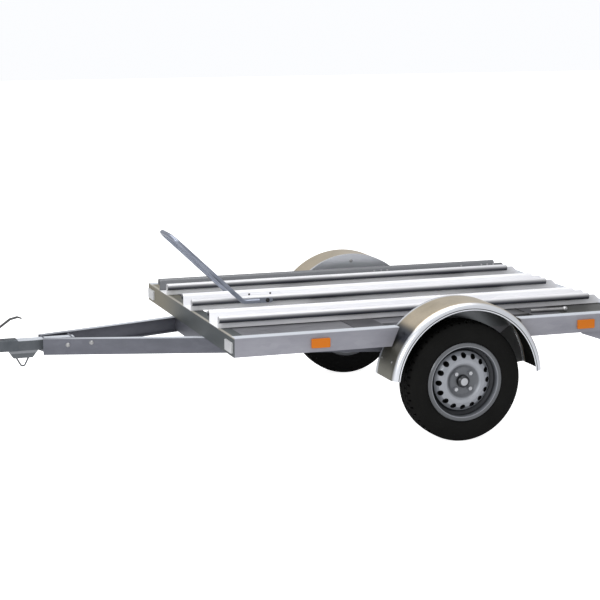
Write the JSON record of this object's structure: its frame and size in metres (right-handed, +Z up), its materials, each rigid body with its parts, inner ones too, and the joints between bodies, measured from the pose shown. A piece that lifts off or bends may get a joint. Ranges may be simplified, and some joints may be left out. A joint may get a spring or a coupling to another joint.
{
  "type": "motorcycle trailer",
  "caption": "Flat trailer for motorcycles with wheel channels, a front-wheel hoop, mudguards and a V drawbar on a jockey wheel.",
  "frame": {"origin": "on the ground, below the middle of the trailer's whole length and width", "axes": "+X forward along the drawbar to the coupling, +Y to the trailer's left, +Z up"},
  "size_m": [3.098, 1.692, 0.923],
  "materials": {
    "galvanised": "matte",
    "channel_steel": "satin",
    "hoop_steel": "satin",
    "guard_steel": "satin",
    "cast": "satin",
    "rubber_tyre": "matte",
    "rim_paint": "satin",
    "jockey_rubber": "matte",
    "grip_plastic": "matte",
    "lamp_red": "gloss",
    "reflector_red": "gloss",
    "reflector_amber": "gloss",
    "reflector_white": "gloss",
    "plate_plastic": "matte"
  },
  "bodies": {
    "chassis": {"side_rail_front_left": "galvanised", "side_rail_front_right": "galvanised", "side_rail_rear_left": "galvanised", "side_rail_rear_right": "galvanised", "front_crossmember": "galvanised", "rear_crossmember": "galvanised", "wide_beam_front": "galvanised", "wide_beam_rear": "galvanised", "inner_rails": "galvanised", "deck_sheets": "galvanised", "wheel_channel_left": "channel_steel", "wheel_channel_centre": "channel_steel", "wheel_channel_right": "channel_steel", "wheel_hoop": "hoop_steel", "mudguard_left": "guard_steel", "mudguard_right": "guard_steel", "drawbar_beam_left": "galvanised", "drawbar_beam_right": "galvanised", "drawbar_tie": "galvanised", "drawbar_yoke": "galvanised", "coupling_shank": "galvanised", "coupling_head": "cast", "coupling_lever": "grip_plastic", "drawbar_rest": "galvanised", "axle_beam": "galvanised", "axle_saddles": "galvanised", "axle_arm_left": "cast", "axle_arm_right": "cast", "jockey_clamp": "galvanised", "jockey_sleeve": "galvanised", "jockey_crank": "galvanised", "lamp_bar": "galvanised", "tail_lamps": "lamp_red", "rear_triangles": "reflector_red", "number_plate": "plate_plastic", "side_reflectors": "reflector_amber", "front_reflectors": "reflector_white", "brake_plate_left": "cast", "brake_plate_right": "cast", "guard_stays": "galvanised"},
    "road_wheel_left": {"tyre_left": "rubber_tyre", "rim_left": "rim_paint", "hub_left": "cast"},
    "road_wheel_right": {"tyre_right": "rubber_tyre", "rim_right": "rim_paint", "hub_right": "cast"},
    "jockey_stem": {"jockey_leg": "galvanised"},
    "jockey_swivel": {"jockey_fork": "galvanised"},
    "jockey_wheel": {"jockey_roller": "jockey_rubber"}
  },
  "joints": [
    {"name": "road_wheel_left_spin", "type": "hinge", "parent": "chassis", "child": "road_wheel_left", "pos_m": [-0.599, 0.74, 0.281], "axis": [0, 1, 0], "continuous": true},
    {"name": "road_wheel_right_spin", "type": "hinge", "parent": "chassis", "child": "road_wheel_right", "pos_m": [-0.599, -0.74, 0.281], "axis": [0, 1, 0], "continuous": true},
    {"name": "jockey_lift", "type": "slide", "parent": "chassis", "child": "jockey_stem", "axis": [0, 0, 1], "range_m": [0, 0.16]},
    {"name": "jockey_swivel_turn", "type": "hinge", "parent": "jockey_stem", "child": "jockey_swivel", "pos_m": [1.431, -0.092, 0.192], "axis": [0, 0, 1], "continuous": true},
    {"name": "jockey_wheel_spin", "type": "hinge", "parent": "jockey_swivel", "child": "jockey_wheel", "pos_m": [1.469, -0.092, 0.08], "axis": [0, 1, 0], "continuous": true}
  ]
}
